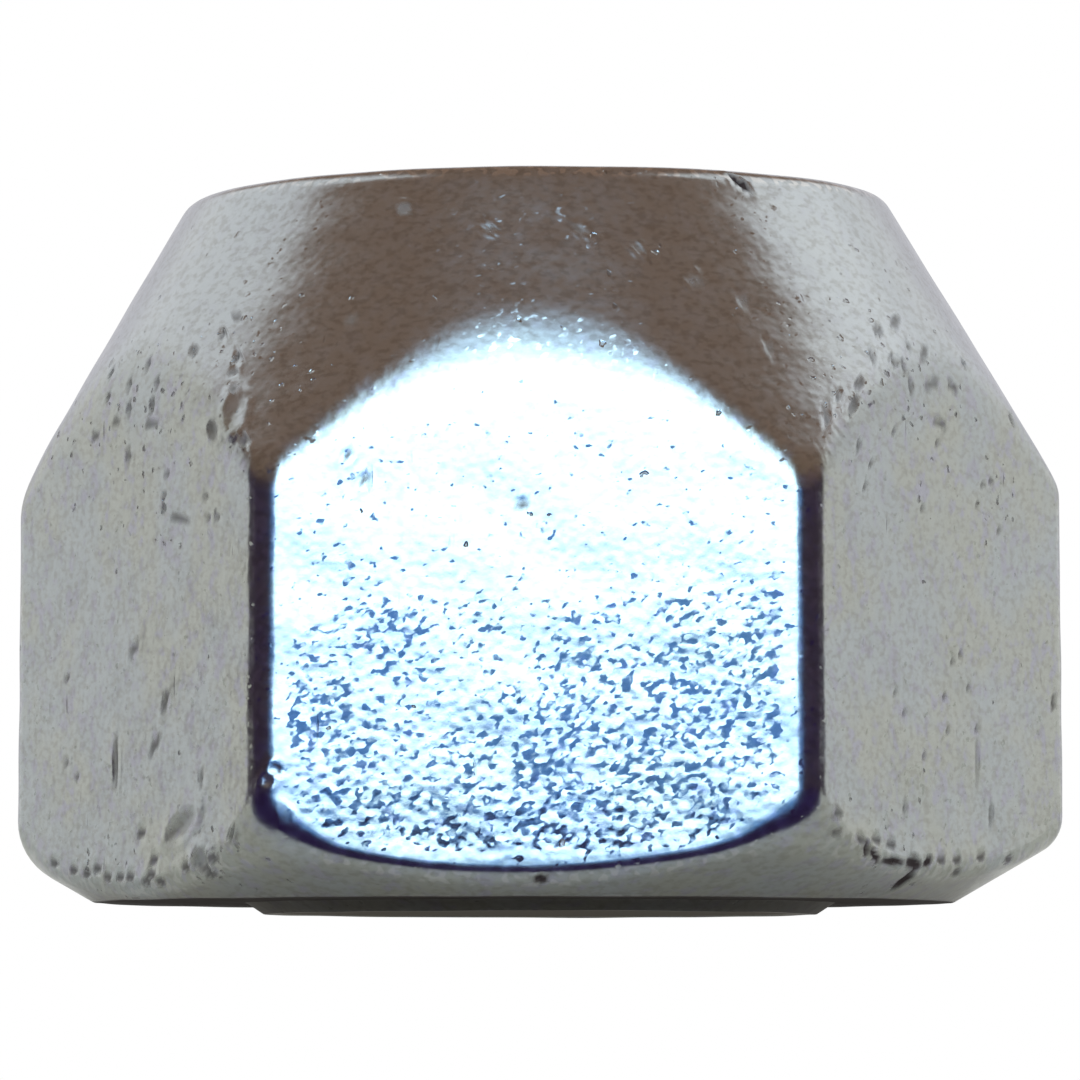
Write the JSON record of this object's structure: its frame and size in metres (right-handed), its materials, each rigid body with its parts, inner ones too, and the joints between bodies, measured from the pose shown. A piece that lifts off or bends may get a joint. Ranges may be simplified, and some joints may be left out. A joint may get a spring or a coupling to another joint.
{
  "type": "lug nut",
  "caption": "Open-ended hexagonal wheel nut with a 60 degree cone seat, chamfered brace end and low washer face.",
  "frame": {"origin": "centre of the washer face, the ring that the nut stands on at its brace end", "axes": "+Z along the threaded bore, from the brace end to the nose of the cone; +X through a corner of the hexagon; -Y and +Y square out of two opposite flats"},
  "size_m": [0.0241, 0.021, 0.0165],
  "materials": {
    "zinc_steel": "zinc plated steel, satin, dulled and pitted by use"
  },
  "bodies": {
    "root": {"lug_nut": "zinc_steel"}
  },
  "joints": []
}
